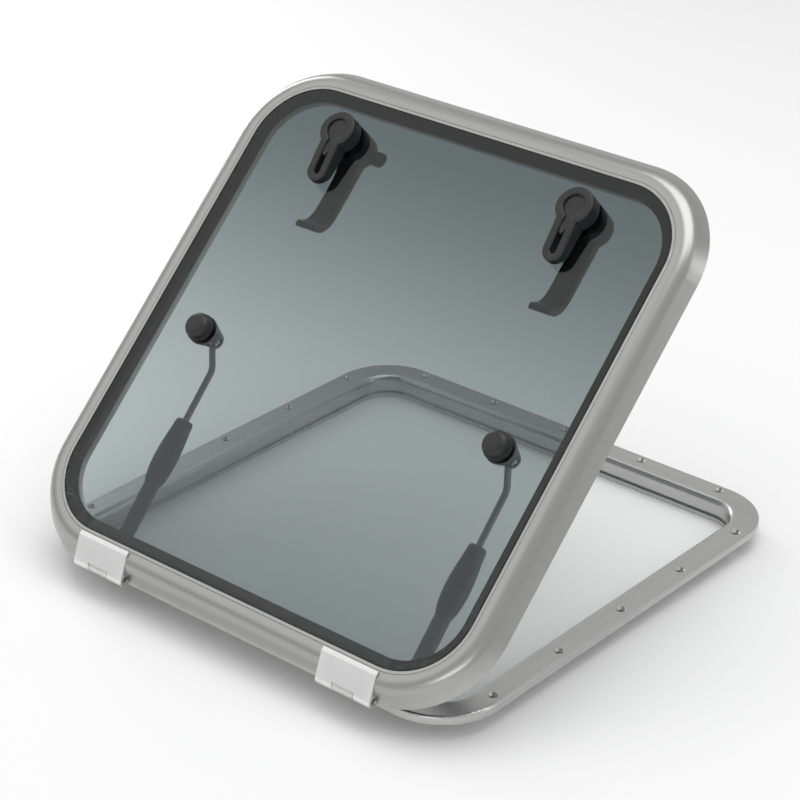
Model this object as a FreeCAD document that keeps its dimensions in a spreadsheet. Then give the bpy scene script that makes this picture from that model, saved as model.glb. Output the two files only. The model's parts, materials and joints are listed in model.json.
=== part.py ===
import FreeCAD, Part
import math
import os
import Sketcher

Vector = FreeCAD.Vector

# Deck hatch: a flanged aluminium base frame, a hinged lid frame with a bonded acrylic pane,
# two turning handles and two telescopic stays.
#
# Frame: +Z up, Z = 0 at the deck (the underside of the base flange), X along the hinge line,
# hinges at -Y. The origin is the centre of the screw pattern. The lid pieces are drawn with the
# lid shut and then swung about the hinge line by open_angle, which is how the part is stored.
# All sizes are millimetres and degrees.

SIZES = [
    # base frame
    ("opening_half", 250.0, "half of the clear opening"),
    ("opening_corner", 36.0, "corner radius of the clear opening"),
    ("flange_width", 31.5, "opening to outer edge"),
    ("flange_thick", 9.0, "deck to flange top"),
    ("lip_round", 7.0, "round from flange top into the opening"),
    ("edge_round", 3.0, "round on the flange's outer top edge"),
    ("spigot_wall", 6.0, "wall that goes down into the cut-out"),
    ("spigot_depth", 18.0, "deck to bottom of the wall"),
    ("groove_top", 9.0, "deck down to the catch groove"),
    ("groove_height", 4.0, "catch groove, top to bottom"),
    ("groove_depth", 3.0, "catch groove, into the wall"),
    ("screw_inset", 11.5, "outer edge to the deck screw line"),
    ("screw_pitch", 102.8, "between deck screws"),
    ("screw_hole_radius", 2.75, "deck screw hole"),
    ("countersink_radius", 5.25, "deck screw countersink at the top"),
    # lid frame and pane
    ("rim_outset", 14.5, "opening edge out to the rim line around the pane"),
    ("rim_corner", 72.0, "corner radius of the rim line"),
    ("rim_lip", 3.2, "flat lip around the pane"),
    ("shoulder_start", 8.8, "rim line to the start of the round shoulder"),
    ("shoulder_radius", 16.0, "round shoulder"),
    ("skirt_slope", 32.0, "skirt from upright, degrees"),
    ("skirt_drop", 20.5, "rim to the skirt's bottom edge"),
    ("lid_wall", 3.0, "shoulder, skirt and web thickness"),
    ("pane_thick", 10.0, "acrylic"),
    ("pane_gap", 1.5, "pane edge to rim"),
    ("pane_sink", 0.4, "rim down to the pane's top"),
    ("bed_thick", 1.6, "sealant under the pane"),
    ("ledge_width", 12.6, "rim line in to the ledge's edge"),
    ("ledge_thick", 3.0, "ledge that carries the pane"),
    ("rib_drop", 4.0, "gasket ribs below the ledge"),
    ("rib_wall", 1.8, "gasket ribs"),
    ("gasket_clear", 0.3, "gasket to flange top, lid shut"),
    ("gasket_height", 5.7, "gasket, under the ledge"),
    # hinges
    ("open_angle", 44.2, "how far the lid stands open"),
    ("axis_outset", 30.0, "rim line out to the hinge axis"),
    ("axis_drop", 16.0, "rim down to the hinge axis"),
    ("hinge_spread", 165.0, "centre to hinge"),
    ("hinge_width", 68.0, "leaf"),
    ("lug_width", 26.0, "middle knuckle"),
    ("knuckle_gap", 0.5, "between knuckles"),
    ("knuckle_radius", 7.0, "knuckles"),
    ("hinge_pin_radius", 3.0, "hinge pin"),
    ("hinge_bush_radius", 4.2, "outside of the hinge bush"),
    ("leaf_thick", 2.2, "leaf over the shoulder"),
    ("pin_recess", 1.5, "pin end inside the outer knuckle"),
    ("pin_recess_radius", 4.4, "recess at the pin's end"),
    ("lug_screw_radius", 2.0, "screws that hold the base lugs"),
    ("lug_screw_inset", 6.5, "outer edge to the lug screws"),
    ("lug_screw_spread", 8.0, "lug centre to its screws"),
    ("lug_pad", 3.2, "lug pad on the flange"),
    # handles
    ("handle_spread", 153.0, "centre to handle"),
    ("handle_inset", 46.0, "free-side rim line in to the handle axis"),
    ("hub_radius", 19.5, "outer handle's hub"),
    ("hub_height", 19.0, "rim to the top of the hub"),
    ("lever_reach", 60.0, "outer lever, axis to tip"),
    ("lever_width", 24.0, "outer lever"),
    ("lever_tip_height", 12.5, "rim to the lever's top at its tip"),
    ("lever_slot", 9.0, "slot in the outer lever"),
    ("shaft_radius", 6.0, "handle shaft"),
    ("bush_radius", 9.8, "handle bush through the pane"),
    ("grab_reach", 104.0, "inner lever, axis to tip"),
    ("grab_width", 25.0, "inner lever"),
    ("grab_thick", 6.0, "inner lever"),
    ("grab_bottom", 42.0, "rim down to the inner lever's underside"),
    ("catch_bite", 2.2, "catch nose into the groove"),
    # stays
    ("stay_spread", 196.0, "centre to stay"),
    ("post_inset", 237.0, "hinge-side rim line in to the stay post"),
    ("post_drop", 37.0, "rim down to the post's end"),
    ("post_top_radius", 16.0, "post under the pane"),
    ("post_end_radius", 9.5, "post at its end"),
    ("pin_inset", 235.0, "hinge-side rim line in to the stay's top pin"),
    ("pin_drop", 31.0, "rim down to the stay's top pin"),
    ("foot_reach", 11.0, "opening wall out to the foot pin"),
    ("foot_height", 1.0, "deck to the foot pin"),
    ("rod_radius", 3.5, "stay rod"),
    ("rod_offset", 22.8, "top pin off the tube's line"),
    ("rod_rise", 25.5, "bend to top pin along the tube's line"),
    ("rod_bend", 14.0, "bend radius"),
    ("tube_radius", 8.5, "stay tube"),
    ("tube_wall", 1.5, "stay tube"),
    ("stay_eye_radius", 5.5, "eye on the tube and ears of the bracket"),
    ("stay_eye_width", 8.0, "eye on the tube"),
    ("foot_pin_radius", 2.5, "foot pin"),
    ("bracket_width", 36.0, "bracket plate"),
    ("bracket_plate", 2.4, "bracket plate and ears"),
    ("bracket_drop", 8.4, "deck down to the bracket plate's bottom"),
    ("bracket_screw_spread", 12.5, "bracket centre to its screws"),
    ("bracket_screw_radius", 2.0, "bracket screws"),
    ("top_pin_radius", 2.0, "stay's top pin"),
    ("pin_travel", 13.8, "how far the top pin rides up its slot"),
    ("pin_drift", 3.2, "sideways play of the top pin in its slot"),
    ("stay_bolt_radius", 4.0, "bolt from the cap to the post"),
    ("cap_radius", 15.0, "cap on the pane"),
    ("cap_height", 12.0, "cap on the pane"),
    ("seal_thick", 0.8, "washers between fittings and pane"),
    ("tube_start", 10.0, "foot pin to the tube's end"),
    ("tube_end", 141.0, "foot pin to the tube's top"),
    ("grip_start", 74.0, "foot pin to the grip's lower end"),
    ("grip_end", 150.0, "foot pin to the grip's top"),
    ("grip_radius", 13.2, "grip at its widest"),
    ("piston_start", 70.0, "foot pin to the rod's piston"),
    ("piston_length", 12.0, "rod's piston"),
    ("running", 0.05, "running clearance on a radius"),
    ("side_gap", 0.3, "clearance between pieces that pass each other"),
]

doc = FreeCAD.newDocument("deck_hatch")
sheet = doc.addObject("Spreadsheet::Sheet", "Sizes")
for row, (alias, number, note) in enumerate(SIZES, start=1):
    sheet.set("A%d" % row, note)
    sheet.set("B%d" % row, str(number))
    sheet.setAlias("B%d" % row, alias)
# The rim stands above the deck by everything stacked under it.
sheet.set("A%d" % (row + 1), "deck to rim, lid shut")
sheet.set("B%d" % (row + 1), "=flange_thick + gasket_clear + gasket_height + ledge_thick"
          " + bed_thick + pane_thick + pane_sink")
sheet.setAlias("B%d" % (row + 1), "rim_height")
doc.recompute()


def size(alias):
    return float(sheet.get(alias))


# Places that several pieces share, worked out from the sheet.
OPEN_HALF = size("opening_half")
BASE_HALF = OPEN_HALF + size("flange_width")
BASE_CORNER = size("opening_corner") + size("flange_width")
SCREW_LINE = BASE_HALF - size("screw_inset")
RIM_HALF = OPEN_HALF + size("rim_outset")
RIM_TOP = size("rim_height")
PANE_TOP = RIM_TOP - size("pane_sink")
PANE_BOTTOM = PANE_TOP - size("pane_thick")
LEDGE_TOP = PANE_BOTTOM - size("bed_thick")
LEDGE_BOTTOM = LEDGE_TOP - size("ledge_thick")
AXIS_Y = -(RIM_HALF + size("axis_outset"))
AXIS_Z = RIM_TOP - size("axis_drop")
HANDLE_Y = RIM_HALF - size("handle_inset")
POST_Y = -RIM_HALF + size("post_inset")
TOP_PIN_Y = -RIM_HALF + size("pin_inset")
TOP_PIN_Z = RIM_TOP - size("pin_drop")
FOOT_Y = -OPEN_HALF + size("foot_reach")
FOOT_Z = size("foot_height")
BRACKET_MID = 0.7 - size("bracket_drop") / 2
SIDES = (("left", -1.0), ("right", 1.0))

X_AXIS = Vector(1, 0, 0)
Y_AXIS = Vector(0, 1, 0)
Z_AXIS = Vector(0, 0, 1)
HINGE_POINT = Vector(0, AXIS_Y, AXIS_Z)
OPEN_LID = FreeCAD.Placement(Vector(), FreeCAD.Rotation(X_AXIS, size("open_angle")), HINGE_POINT)

subparts = []


def finish(obj, label, placement=None):
    """Name a finished sub-part and put it in place."""
    obj.Label = label
    if placement is not None:
        obj.Placement = placement
    subparts.append(obj)
    return obj


def feature(name, shape):
    """A document object for a shape that sketches and primitives do not suit."""
    obj = doc.addObject("Part::Feature", name)
    obj.Shape = shape
    return obj


def bind(obj, **expressions):
    for prop, text in expressions.items():
        obj.setExpression(prop, text)


# ---------------------------------------------------------------- sketch helpers
def new_body(name):
    return doc.addObject("PartDesign::Body", name)


def origin_plane(body, role):
    return [item for item in body.Origin.OriginFeatures if item.Role == role][0]


def new_sketch(body, name, role="XY_Plane", height=None):
    """A sketch on one of the body's origin planes, lifted by an expression in the sheet's names."""
    sketch = body.newObject("Sketcher::SketchObject", name)
    sketch.AttachmentSupport = [(origin_plane(body, role), "")]
    sketch.MapMode = "FlatFace"
    if height is not None:
        sketch.setExpression(".AttachmentOffset.Base.z", height)
    return sketch


def dimension(sketch, kind, first, second, number, expression):
    """A distance between two (geometry, point) pairs, tied to the sheet."""
    index = sketch.addConstraint(Sketcher.Constraint(kind, *first, *second, abs(number)))
    sketch.setExpression("Constraints[%d]" % index, expression)


def from_origin(sketch, kind, point, number, expression):
    """Place a point from the sketch's origin; number carries the side it lies on."""
    origin = (-1, 1)
    ends = (origin, point) if number >= 0 else (point, origin)
    dimension(sketch, kind, ends[0], ends[1], number, expression)


def rounded_square(sketch, half, corner, half_text, corner_text):
    """Four sides and four tangent corner arcs, centred on the origin."""
    flat = half - corner
    first = sketch.GeometryCount
    turns = ((1, -1, 1, 1), (1, 1, -1, 1), (-1, 1, -1, -1), (-1, -1, 1, -1))
    for sx, sy, ex, ey in turns:
        upright = sx == ex
        start = Vector(sx * half if upright else sx * flat, sy * flat if upright else sy * half, 0)
        end = Vector(ex * half if upright else ex * flat, ey * flat if upright else ey * half, 0)
        sketch.addGeometry(Part.LineSegment(start, end), False)
    for index, (sx, sy) in enumerate(((1, 1), (-1, 1), (-1, -1), (1, -1))):
        circle = Part.Circle(Vector(sx * flat, sy * flat, 0), Z_AXIS, corner)
        begin = index * math.pi / 2
        sketch.addGeometry(Part.ArcOfCircle(circle, begin, begin + math.pi / 2), False)
    for index in range(4):
        side = first + index
        arc = first + 4 + index
        after = first + (index + 1) % 4
        sketch.addConstraint(Sketcher.Constraint("Tangent", side, 2, arc, 1))
        sketch.addConstraint(Sketcher.Constraint("Tangent", arc, 2, after, 1))
        kind = "Vertical" if index % 2 == 0 else "Horizontal"
        sketch.addConstraint(Sketcher.Constraint(kind, side))
    reach = ((0, "DistanceX", 1), (1, "DistanceY", 1), (2, "DistanceX", -1), (3, "DistanceY", -1))
    for index, kind, sign in reach:
        from_origin(sketch, kind, (first + index, 1), sign * half, half_text)
    radius = sketch.addConstraint(Sketcher.Constraint("Radius", first + 4, corner))
    sketch.setExpression("Constraints[%d]" % radius, corner_text)
    for index in range(1, 4):
        sketch.addConstraint(Sketcher.Constraint("Equal", first + 4, first + 4 + index))


def sketch_circle(sketch, x, y, radius, x_text, y_text, radius_text):
    index = sketch.addGeometry(Part.Circle(Vector(x, y, 0), Z_AXIS, radius), False)
    place = sketch.addConstraint(Sketcher.Constraint("Radius", index, radius))
    sketch.setExpression("Constraints[%d]" % place, radius_text)
    for kind, number, text in (("DistanceX", x, x_text), ("DistanceY", y, y_text)):
        if abs(number) < 1e-9:
            axis = -2 if kind == "DistanceX" else -1
            sketch.addConstraint(Sketcher.Constraint("PointOnObject", index, 3, axis))
        else:
            from_origin(sketch, kind, (index, 3), number, text)


def pad(body, name, sketch, length, downward=False):
    item = body.newObject("PartDesign::Pad", name)
    item.Profile = sketch
    item.setExpression("Length", length)
    item.Reversed = downward
    return item


def pocket(body, name, sketch, length):
    """Cut downwards from the sketch; a pocket that misses the solid is an error."""
    doc.recompute()
    before = body.Shape.Volume
    item = body.newObject("PartDesign::Pocket", name)
    item.Profile = sketch
    item.setExpression("Length", length)
    doc.recompute()
    if body.Shape.Volume > before - 1e-6:
        item.Reversed = True
        doc.recompute()
    if body.Shape.Volume > before - 1e-6:
        raise RuntimeError("%s cuts nothing" % name)
    return item


def round_edges(body, name, wanted, radius):
    """Fillet the edges of the body that pass the test."""
    doc.recompute()
    solid = body.Tip
    edges = ["Edge%d" % (i + 1) for i, edge in enumerate(solid.Shape.Edges) if wanted(edge)]
    item = body.newObject("PartDesign::Fillet", name)
    item.Base = (solid, edges)
    item.setExpression("Radius", radius)
    doc.recompute()
    return item


def at_height(edge, height, reach_low, reach_high):
    """True for an edge that lies flat at a height and whose middle is at that reach from Z."""
    box = edge.BoundBox
    middle = edge.valueAt((edge.FirstParameter + edge.LastParameter) / 2)
    reach = max(abs(middle.x), abs(middle.y))
    flat = abs(box.ZMin - height) < 1e-4 and abs(box.ZMax - height) < 1e-4
    return flat and reach_low < reach < reach_high


def revolve_body(name, points, hole=None):
    """A turned piece: an outline of (radius, height) points spun about the body's Z axis."""
    body = new_body(name)
    sketch = new_sketch(body, name + "_outline", "XZ_Plane")
    loop = points + points[:1]
    for index, ((r0, h0), (r1, h1)) in enumerate(zip(loop, loop[1:])):
        sketch.addGeometry(Part.LineSegment(Vector(r0, h0, 0), Vector(r1, h1, 0)), False)
        if index:
            sketch.addConstraint(Sketcher.Constraint("Coincident", index - 1, 2, index, 1))
    sketch.addConstraint(Sketcher.Constraint("Coincident", len(points) - 1, 2, 0, 1))
    turn = body.newObject("PartDesign::Revolution", name + "_turn")
    turn.Profile = sketch
    turn.ReferenceAxis = (sketch, ["V_Axis"])
    turn.Angle = 360.0
    return body


# ---------------------------------------------------------------- solid helpers
def box(name, low, high):
    item = doc.addObject("Part::Box", name)
    item.Length, item.Width, item.Height = (high[i] - low[i] for i in range(3))
    item.Placement.Base = Vector(*low)
    return item


def cylinder(name, radius_text, height_text, base, axis=Z_AXIS):
    """A cylinder tied to the sheet, standing on base along axis."""
    item = doc.addObject("Part::Cylinder", name)
    bind(item, Radius=radius_text, Height=height_text)
    item.Placement = FreeCAD.Placement(base, FreeCAD.Rotation(Z_AXIS, axis))
    return item


def cut(name, base, *tools):
    """Take the tools out of the base, one after the other."""
    result = base
    for index, tool in enumerate(tools):
        step = doc.addObject("Part::Cut", name if index == len(tools) - 1 else name + "_cut")
        step.Base = result
        step.Tool = tool
        result = step
    return result


def prism(points, along, place=lambda a, b: Vector(0, a, b)):
    """Extrude a polygon of (a, b) points; place turns a pair into a point in space."""
    corners = [place(a, b) for a, b in points]
    return Part.Face(Part.makePolygon(corners + corners[:1])).extrude(along)


def slab(cx, cy, z_low, z_high, length, width):
    """A bar along -Y with a round far end, from the point (cx, cy)."""
    half = width / 2
    a = Vector(cx - half, cy, z_low)
    b = Vector(cx - half, cy - length + half, z_low)
    tip = Vector(cx, cy - length, z_low)
    c = Vector(cx + half, cy - length + half, z_low)
    d = Vector(cx + half, cy, z_low)
    edges = [Part.makeLine(a, b), Part.Arc(b, tip, c).toShape(), Part.makeLine(c, d),
             Part.makeLine(d, a)]
    return Part.Face(Part.Wire(edges)).extrude(Vector(0, 0, z_high - z_low))


def ring(edges_at, half, corner):
    """Carry a section round a rounded square; edges_at(reach, y) draws it on the +X side."""
    flat = half - corner
    start = Part.Face(Part.Wire(edges_at(half, -flat)))
    side = start.extrude(Vector(0, 2 * flat, 0))
    end = Part.Face(Part.Wire(edges_at(half, flat)))
    turn = end.revolve(Vector(flat, flat, 0), Z_AXIS, 90)
    pieces = []
    for quarter in range(4):
        for piece in (side, turn):
            copy = piece.copy()
            copy.rotate(Vector(), Z_AXIS, 90 * quarter)
            pieces.append(copy)
    return pieces[0].fuse(pieces[1:]).removeSplitter()


# ---------------------------------------------------------------- base frame
def make_base_frame():
    """Flange, cut-out wall, catch groove and countersunk deck screw holes."""
    body = new_body("base_frame")
    outline = new_sketch(body, "flange_outline")
    outer = "Sizes.opening_half + Sizes.flange_width"
    rounded_square(outline, BASE_HALF, BASE_CORNER, outer,
                   "Sizes.opening_corner + Sizes.flange_width")
    pad(body, "flange", outline, "Sizes.flange_thick")
    wall = size("spigot_wall")
    spigot = new_sketch(body, "spigot_outline")
    rounded_square(spigot, OPEN_HALF + wall, size("opening_corner") + wall,
                   "Sizes.opening_half + Sizes.spigot_wall",
                   "Sizes.opening_corner + Sizes.spigot_wall")
    pad(body, "spigot", spigot, "Sizes.spigot_depth", downward=True)
    opening = new_sketch(body, "opening_outline", height="Sizes.flange_thick")
    rounded_square(opening, OPEN_HALF, size("opening_corner"), "Sizes.opening_half",
                   "Sizes.opening_corner")
    pocket(body, "opening", opening, "Sizes.flange_thick + Sizes.spigot_depth")
    depth = size("groove_depth")
    groove = new_sketch(body, "groove_outline", height="-Sizes.groove_top")
    rounded_square(groove, OPEN_HALF + depth, size("opening_corner") + depth,
                   "Sizes.opening_half + Sizes.groove_depth",
                   "Sizes.opening_corner + Sizes.groove_depth")
    pocket(body, "catch_groove", groove, "Sizes.groove_height")
    top = size("flange_thick")
    round_edges(body, "lip_fillet", lambda e: at_height(e, top, 0, OPEN_HALF + 1),
                "Sizes.lip_round")
    round_edges(body, "edge_fillet", lambda e: at_height(e, top, BASE_HALF - 25, BASE_HALF + 1),
                "Sizes.edge_round")
    holes = new_sketch(body, "screw_centres", height="Sizes.flange_thick")
    line_text = "Sizes.opening_half + Sizes.flange_width - Sizes.screw_inset"
    for count in (-2, -1, 0, 1, 2):
        sketch_circle(holes, SCREW_LINE, count * size("screw_pitch"), size("screw_hole_radius"),
                      line_text, "%d * Sizes.screw_pitch" % abs(count), "Sizes.screw_hole_radius")
    drill = pocket(body, "screw_holes", holes, "Sizes.flange_thick")
    heads = new_sketch(body, "countersink_centres", height="Sizes.flange_thick")
    for count in (-2, -1, 0, 1, 2):
        sketch_circle(heads, SCREW_LINE, count * size("screw_pitch"),
                      size("countersink_radius"), line_text,
                      "%d * Sizes.screw_pitch" % abs(count), "Sizes.countersink_radius")
    sink = pocket(body, "countersinks", heads, "Sizes.countersink_radius - Sizes.screw_hole_radius")
    sink.TaperAngle = -45.0
    pattern = body.newObject("PartDesign::PolarPattern", "screw_pattern")
    pattern.Originals = [drill, sink]
    pattern.Axis = (holes, ["N_Axis"])
    pattern.Angle = 360.0
    pattern.Occurrences = 4
    body.Tip = pattern
    lug_holes = new_sketch(body, "lug_screw_centres", height="Sizes.flange_thick")
    y_text = "Sizes.opening_half + Sizes.flange_width - Sizes.lug_screw_inset"
    for _, side in SIDES:
        for step in (-1, 1):
            sketch_circle(lug_holes, side * size("hinge_spread") + step * size("lug_screw_spread"),
                          -(BASE_HALF - size("lug_screw_inset")), size("lug_screw_radius"),
                          "Sizes.hinge_spread %s Sizes.lug_screw_spread" % "+-"[side != step],
                          y_text, "Sizes.lug_screw_radius")
    pocket(body, "lug_screw_holes", lug_holes, "Sizes.flange_thick - 1.5")
    wall_holes = new_sketch(body, "bracket_screw_centres", "XZ_Plane", "Sizes.opening_half - 1")
    for _, side in SIDES:
        for step in (-1, 1):
            x = side * size("stay_spread") + step * size("bracket_screw_spread")
            sketch_circle(wall_holes, x, BRACKET_MID, size("bracket_screw_radius"),
                          "Sizes.stay_spread %s Sizes.bracket_screw_spread" % "+-"[side != step],
                          "Sizes.bracket_drop / 2 - 0.7", "Sizes.bracket_screw_radius")
    pocket(body, "bracket_screw_holes", wall_holes, "Sizes.spigot_wall")
    doc.recompute()
    return finish(body, "base_frame")


# ---------------------------------------------------------------- lid frame, pane and seals
def lid_section(reach, y):
    """Lip, round shoulder, sloped skirt, web, ledge and gasket ribs, on the +X side."""
    wall = size("lid_wall")
    slope = math.radians(size("skirt_slope"))
    start = size("shoulder_start")
    radius = size("shoulder_radius")
    drop = size("skirt_drop")

    def at(u, d):
        return Vector(reach + u, y, RIM_TOP - d)

    def shoulder(r, angle):
        return (start + r * math.cos(angle), radius - r * math.sin(angle))

    half_turn = (math.pi / 2 + slope) / 2
    outer_end = shoulder(radius, slope)
    foot = outer_end[0] + (drop - outer_end[1]) * math.tan(slope)
    inner = radius - wall
    inner_end = shoulder(inner, slope)
    inner_foot = inner_end[0] + (drop - inner_end[1]) * math.tan(slope)
    lip = size("rim_lip")
    ledge_in = -size("ledge_width")
    rib = size("rib_wall")
    ledge_bottom = RIM_TOP - LEDGE_BOTTOM
    rib_bottom = ledge_bottom + size("rib_drop")
    line = Part.makeLine
    edges = [
        line(at(0, 0), at(lip - 0.3, 0)),
        line(at(lip - 0.3, 0), at(lip, 0.5)),
        line(at(lip, 0.5), at(lip + 0.3, 0)),
        line(at(lip + 0.3, 0), at(start, 0)),
        Part.Arc(at(start, 0), at(*shoulder(radius, half_turn)), at(*outer_end)).toShape(),
        line(at(*outer_end), at(foot, drop)),
        Part.Arc(at(foot, drop), at((foot + inner_foot) / 2, drop + 0.9),
                 at(inner_foot, drop)).toShape(),
        line(at(inner_foot, drop), at(*inner_end)),
        Part.Arc(at(*inner_end), at(*shoulder(inner, half_turn)), at(start, wall)).toShape(),
    ]
    rest = [(start, wall), (wall, wall), (wall, rib_bottom), (wall - rib, rib_bottom),
            (wall - rib, ledge_bottom), (ledge_in + rib, ledge_bottom),
            (ledge_in + rib, rib_bottom), (ledge_in, rib_bottom),
            (ledge_in, RIM_TOP - LEDGE_TOP), (0, RIM_TOP - LEDGE_TOP), (0, 0)]
    for first, second in zip(rest, rest[1:]):
        edges.append(line(at(*first), at(*second)))
    return edges


def make_lid_frame():
    """The ring, with its skirt cut away round each hinge."""
    solid = ring(lid_section, RIM_HALF, size("rim_corner"))
    half = size("hinge_width") / 2 + size("side_gap")
    clear = size("knuckle_radius") + size("side_gap")
    for _, side in SIDES:
        start = Vector(side * size("hinge_spread") - half, AXIS_Y, AXIS_Z)
        solid = solid.cut(Part.makeCylinder(clear, 2 * half, start, X_AXIS))
        low = start - Vector(0, 10, 20)
        solid = solid.cut(Part.makeBox(2 * half, 10 + clear + 1, 20, low))
    return finish(feature("lid_frame", solid), "lid_frame", OPEN_LID)


def make_pane():
    """Acrylic sheet, drilled for the handles and the stay bolts."""
    body = new_body("pane")
    base = "Sizes.rim_height - Sizes.pane_sink"
    sheet_half = RIM_HALF - size("pane_gap")
    outline = new_sketch(body, "pane_outline", height=base)
    rounded_square(outline, sheet_half, size("rim_corner") - size("pane_gap"),
                   "Sizes.opening_half + Sizes.rim_outset - Sizes.pane_gap",
                   "Sizes.rim_corner - Sizes.pane_gap")
    pad(body, "sheet", outline, "Sizes.pane_thick", downward=True)
    holes = new_sketch(body, "fitting_centres", height=base)
    for _, side in SIDES:
        sketch_circle(holes, side * size("handle_spread"), HANDLE_Y,
                      size("bush_radius") + size("side_gap"), "Sizes.handle_spread",
                      "Sizes.opening_half + Sizes.rim_outset - Sizes.handle_inset",
                      "Sizes.bush_radius + Sizes.side_gap")
        sketch_circle(holes, side * size("stay_spread"), POST_Y,
                      size("stay_bolt_radius") + size("side_gap"), "Sizes.stay_spread",
                      "Sizes.opening_half + Sizes.rim_outset - Sizes.post_inset",
                      "Sizes.stay_bolt_radius + Sizes.side_gap")
    pocket(body, "fitting_holes", holes, "Sizes.pane_thick")
    return finish(body, "pane", OPEN_LID)


def polygon_edges(points):
    return [Part.makeLine(a, b) for a, b in zip(points, points[1:] + points[:1])]


def make_lid_seals():
    """Sealant under and round the pane, and the gasket between its ribs."""
    def sealant(reach, y):
        gap = size("pane_gap")
        top = PANE_TOP - 0.6
        pairs = [(0, LEDGE_TOP), (0, top), (-gap, top), (-gap, PANE_BOTTOM),
                 (-size("ledge_width"), PANE_BOTTOM), (-size("ledge_width"), LEDGE_TOP)]
        return polygon_edges([Vector(reach + u, y, z) for u, z in pairs])

    def gasket(reach, y):
        low = size("flange_thick") + size("gasket_clear")
        inner = -size("ledge_width") + size("rib_wall")
        outer = size("lid_wall") - size("rib_wall")
        pairs = [(inner, LEDGE_BOTTOM), (outer, LEDGE_BOTTOM), (outer, low + 1.5),
                 (outer - 2.5, low), (inner + 2.5, low), (inner, low + 1.5)]
        return polygon_edges([Vector(reach + u, y, z) for u, z in pairs])

    corner = size("rim_corner")
    finish(feature("pane_sealant", ring(sealant, RIM_HALF, corner)), "pane_sealant", OPEN_LID)
    finish(feature("lid_gasket", ring(gasket, RIM_HALF, corner)), "lid_gasket", OPEN_LID)


# ---------------------------------------------------------------- hinges
def make_hinge(tag, side):
    """Leaf on the lid with two knuckles, lug on the flange with one, bush, pin and screws."""
    centre = side * size("hinge_spread")
    half = size("hinge_width") / 2
    radius = size("knuckle_radius")
    gap = size("knuckle_gap")
    pin = size("hinge_pin_radius")
    bush = size("hinge_bush_radius")
    lug = size("lug_width") / 2
    axis = Vector(0, AXIS_Y, AXIS_Z)

    def barrel(r, low, high):
        return Part.makeCylinder(r, high - low, axis + Vector(centre + low, 0, 0), X_AXIS)

    # leaf: flat plate from the rim's lip, tangent to the knuckles
    thick = size("leaf_thick")
    bend = -RIM_HALF - size("shoulder_start")
    run = bend - AXIS_Y
    rise = RIM_TOP + thick - AXIS_Z
    tilt = math.atan2(rise, run) - math.asin(radius / math.hypot(run, rise))
    touch = (AXIS_Y - radius * math.sin(tilt), AXIS_Z + radius * math.cos(tilt))
    crown = size("shoulder_radius") + 0.1
    plate = [(-RIM_HALF - size("rim_lip") - 1, RIM_TOP), (-RIM_HALF - size("rim_lip") - 1,
             RIM_TOP + thick), (bend, RIM_TOP + thick), touch, (AXIS_Y, AXIS_Z),
             (bend - crown * math.cos(math.radians(28)),
              RIM_TOP - size("shoulder_radius") + crown * math.sin(math.radians(28))),
             (bend, RIM_TOP)]
    leaf = prism(plate, Vector(2 * half, 0, 0), lambda y, z: Vector(centre - half, y, z))
    shoulder = Part.makeCylinder(crown, 2 * half + 2, Vector(centre - half - 1, bend,
                                 RIM_TOP - size("shoulder_radius")), X_AXIS)
    leaf = leaf.cut(shoulder).fuse(barrel(radius, -half, half))
    leaf = leaf.cut(barrel(radius + gap, -lug - gap, lug + gap))
    leaf = leaf.cut(barrel(pin, -half - 1, half + 1))
    recess = size("pin_recess")
    mouth = size("pin_recess_radius")
    leaf = leaf.cut(barrel(mouth, -half - 1, -half + recess))
    leaf = leaf.cut(barrel(mouth, half - recess, half + 1)).removeSplitter()
    finish(feature("hinge_leaf_" + tag, leaf), "hinge_leaf_" + tag, OPEN_LID)

    # lug: pad on the flange and an arm out to the middle knuckle
    top = size("flange_thick")
    pad_in = -RIM_HALF - size("lid_wall") - 2.5
    edge = -BASE_HALF - size("side_gap")
    arm = [(pad_in, top), (pad_in, top + size("lug_pad")), (AXIS_Y + 6, top + size("lug_pad")),
           (AXIS_Y, AXIS_Z), (AXIS_Y, AXIS_Z - radius + 0.3), (edge, AXIS_Z - radius + 0.3),
           (edge, top)]
    solid = prism(arm, Vector(2 * lug, 0, 0), lambda y, z: Vector(centre - lug, y, z))
    solid = solid.fuse(barrel(radius, -lug, lug)).cut(barrel(bush, -lug - 1, lug + 1))
    screw_y = -BASE_HALF + size("lug_screw_inset")
    screws = []
    for step in (-1, 1):
        foot = Vector(centre + step * size("lug_screw_spread"), screw_y, 1.6)
        shank = Part.makeCylinder(size("lug_screw_radius"), top + size("lug_pad") - 1.6, foot)
        head = Part.makeCylinder(3.6, 1.8, foot + Vector(0, 0, top + size("lug_pad") - 1.6))
        screws.append(shank.fuse(head).removeSplitter())
        solid = solid.cut(shank)
    finish(feature("hinge_lug_" + tag, solid.removeSplitter()), "hinge_lug_" + tag)
    finish(feature("hinge_bush_" + tag, barrel(bush, -lug, lug).cut(
        barrel(pin + size("running"), -lug - 1, lug + 1))), "hinge_bush_" + tag)
    finish(feature("hinge_pin_" + tag, barrel(pin, -half + recess, half - recess)),
           "hinge_pin_" + tag, OPEN_LID)
    return screws


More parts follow.
